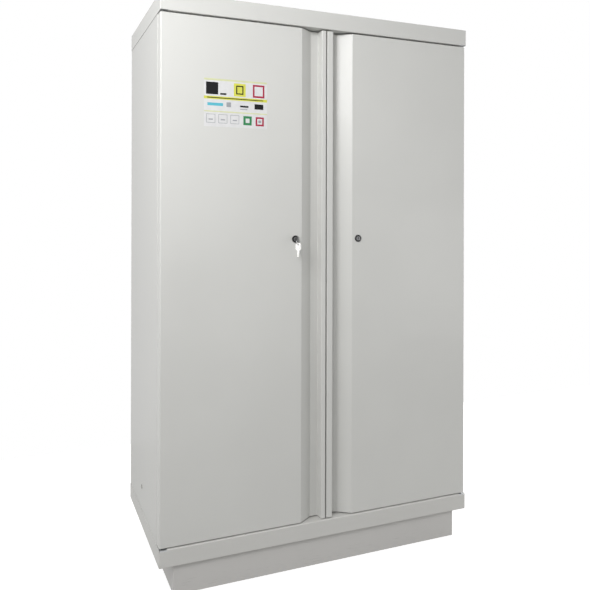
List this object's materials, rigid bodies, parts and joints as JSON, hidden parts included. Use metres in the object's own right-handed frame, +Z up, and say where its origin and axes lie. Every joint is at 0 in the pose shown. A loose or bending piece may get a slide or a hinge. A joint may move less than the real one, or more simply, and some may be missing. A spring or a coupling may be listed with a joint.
{
  "type": "fireproof safety cabinet",
  "caption": "Tall two-door fireproof cabinet on a plinth, with formed grip channels, key locks that drive bolt rods, tray shelves, a sump and a roof spigot.",
  "frame": {"origin": "on the floor, at the middle of the overall width and depth", "axes": "+X to the right as seen from the front, +Y to the back, +Z up; the doors face -Y"},
  "size_m": [1.2, 0.6282, 2.03],
  "materials": {
    "body_paint": "satin",
    "door_paint": "satin",
    "plinth_paint": "satin",
    "inner_paint": "satin",
    "insulation_board": "matte",
    "lining_board": "satin",
    "fire_strip": "matte",
    "door_seal": "matte",
    "zinc_steel": "satin",
    "shelf_paint": "satin",
    "foot_steel": "satin",
    "earth_nut": "satin",
    "lock_black": "satin",
    "lock_steel": "satin",
    "key_nickel": "satin",
    "ring_steel": "polished"
  },
  "bodies": {
    "cabinet": {"left_side_panel": "body_paint", "right_side_panel": "body_paint", "back_panel": "body_paint", "top_cap": "body_paint", "base_tray": "body_paint", "plinth": "plinth_paint", "frame_head": "inner_paint", "frame_sill": "inner_paint", "left_frame_stile": "inner_paint", "right_frame_stile": "inner_paint", "exhaust_spigot": "inner_paint", "vent_grille": "inner_paint", "left_insulation": "insulation_board", "right_insulation": "insulation_board", "back_insulation": "insulation_board", "top_insulation": "insulation_board", "bottom_insulation": "insulation_board", "left_liner": "lining_board", "right_liner": "lining_board", "back_liner": "lining_board", "top_liner": "lining_board", "bottom_liner": "lining_board", "frame_fire_strips": "fire_strip", "shelf_uprights": "zinc_steel", "shelf_clips": "zinc_steel", "upper_pivots": "zinc_steel", "door_closers": "zinc_steel", "lower_shelf": "shelf_paint", "middle_shelf": "shelf_paint", "upper_shelf": "shelf_paint", "sump_tray": "shelf_paint", "sump_cover": "shelf_paint", "levelling_feet": "foot_steel", "earthing_insert": "earth_nut"},
    "left_door": {"left_door_skin": "door_paint", "left_door_inner_pan": "inner_paint", "left_door_core": "insulation_board", "left_tongue_board": "insulation_board", "left_door_seals": "door_seal", "left_door_pivots": "zinc_steel", "left_lock_ring": "lock_black", "left_lock_case": "zinc_steel"},
    "right_door": {"right_door_skin": "door_paint", "right_door_inner_pan": "inner_paint", "right_door_core": "insulation_board", "right_tongue_board": "insulation_board", "right_door_seals": "door_seal", "right_door_pivots": "zinc_steel", "right_lock_ring": "lock_black", "right_lock_case": "zinc_steel"},
    "left_lock": {"left_lock_plug": "lock_steel", "door_key": "key_nickel"},
    "right_lock": {"right_lock_plug": "lock_steel"},
    "left_upper_rod": {"left_upper_rod": "zinc_steel"},
    "left_lower_rod": {"left_lower_rod": "zinc_steel"},
    "right_upper_rod": {"right_upper_rod": "zinc_steel"},
    "right_lower_rod": {"right_lower_rod": "zinc_steel"},
    "key_ring": {"key_ring": "ring_steel"},
    "spare_key": {"spare_key": "key_nickel"}
  },
  "joints": [
    {"name": "left_door_hinge", "type": "hinge", "parent": "cabinet", "child": "left_door", "pos_m": [-0.5865, -0.25187, 0.165], "axis": [0, 0, -1], "range_deg": [0, 100], "stiffness_Nm_per_rad": 12},
    {"name": "right_door_hinge", "type": "hinge", "parent": "cabinet", "child": "right_door", "pos_m": [0.5865, -0.25187, 0.165], "axis": [0, 0, 1], "range_deg": [0, 100], "stiffness_Nm_per_rad": 12},
    {"name": "left_lock_turn", "type": "hinge", "parent": "left_door", "child": "left_lock", "pos_m": [-0.1215, -0.25787, 1.168], "axis": [0, 1, 0], "range_deg": [0, 90.01]},
    {"name": "left_upper_rod_slide", "type": "slide", "parent": "left_door", "child": "left_upper_rod", "axis": [0, 0, 1], "range_m": [0, 0.02003]},
    {"name": "left_lower_rod_slide", "type": "slide", "parent": "left_door", "child": "left_lower_rod", "axis": [0, 0, -1], "range_m": [0, 0.02003]},
    {"name": "right_lock_turn", "type": "hinge", "parent": "right_door", "child": "right_lock", "pos_m": [0.127, -0.25787, 1.168], "axis": [0, -1, 0], "range_deg": [0, 90.01]},
    {"name": "right_upper_rod_slide", "type": "slide", "parent": "right_door", "child": "right_upper_rod", "axis": [0, 0, 1], "range_m": [0, 0.02003]},
    {"name": "right_lower_rod_slide", "type": "slide", "parent": "right_door", "child": "right_lower_rod", "axis": [0, 0, -1], "range_m": [0, 0.02003]},
    {"name": "key_ring_swing", "type": "hinge", "parent": "left_lock", "child": "key_ring", "pos_m": [-0.1215, -0.30686, 1.16575], "axis": [1, 0, 0], "range_deg": [-40, 10]},
    {"name": "spare_key_swing", "type": "hinge", "parent": "key_ring", "child": "spare_key", "pos_m": [-0.1215, -0.30686, 1.14975], "axis": [1, 0, 0], "range_deg": [-40, 10]}
  ],
  "couplings": [
    {"joint": "left_lock_turn", "follows": "left_upper_rod_slide", "rad_per_m": 78.431},
    {"joint": "left_lower_rod_slide", "follows": "left_upper_rod_slide", "ratio": 1},
    {"joint": "right_lock_turn", "follows": "right_upper_rod_slide", "rad_per_m": 78.431},
    {"joint": "right_lower_rod_slide", "follows": "right_upper_rod_slide", "ratio": 1}
  ]
}
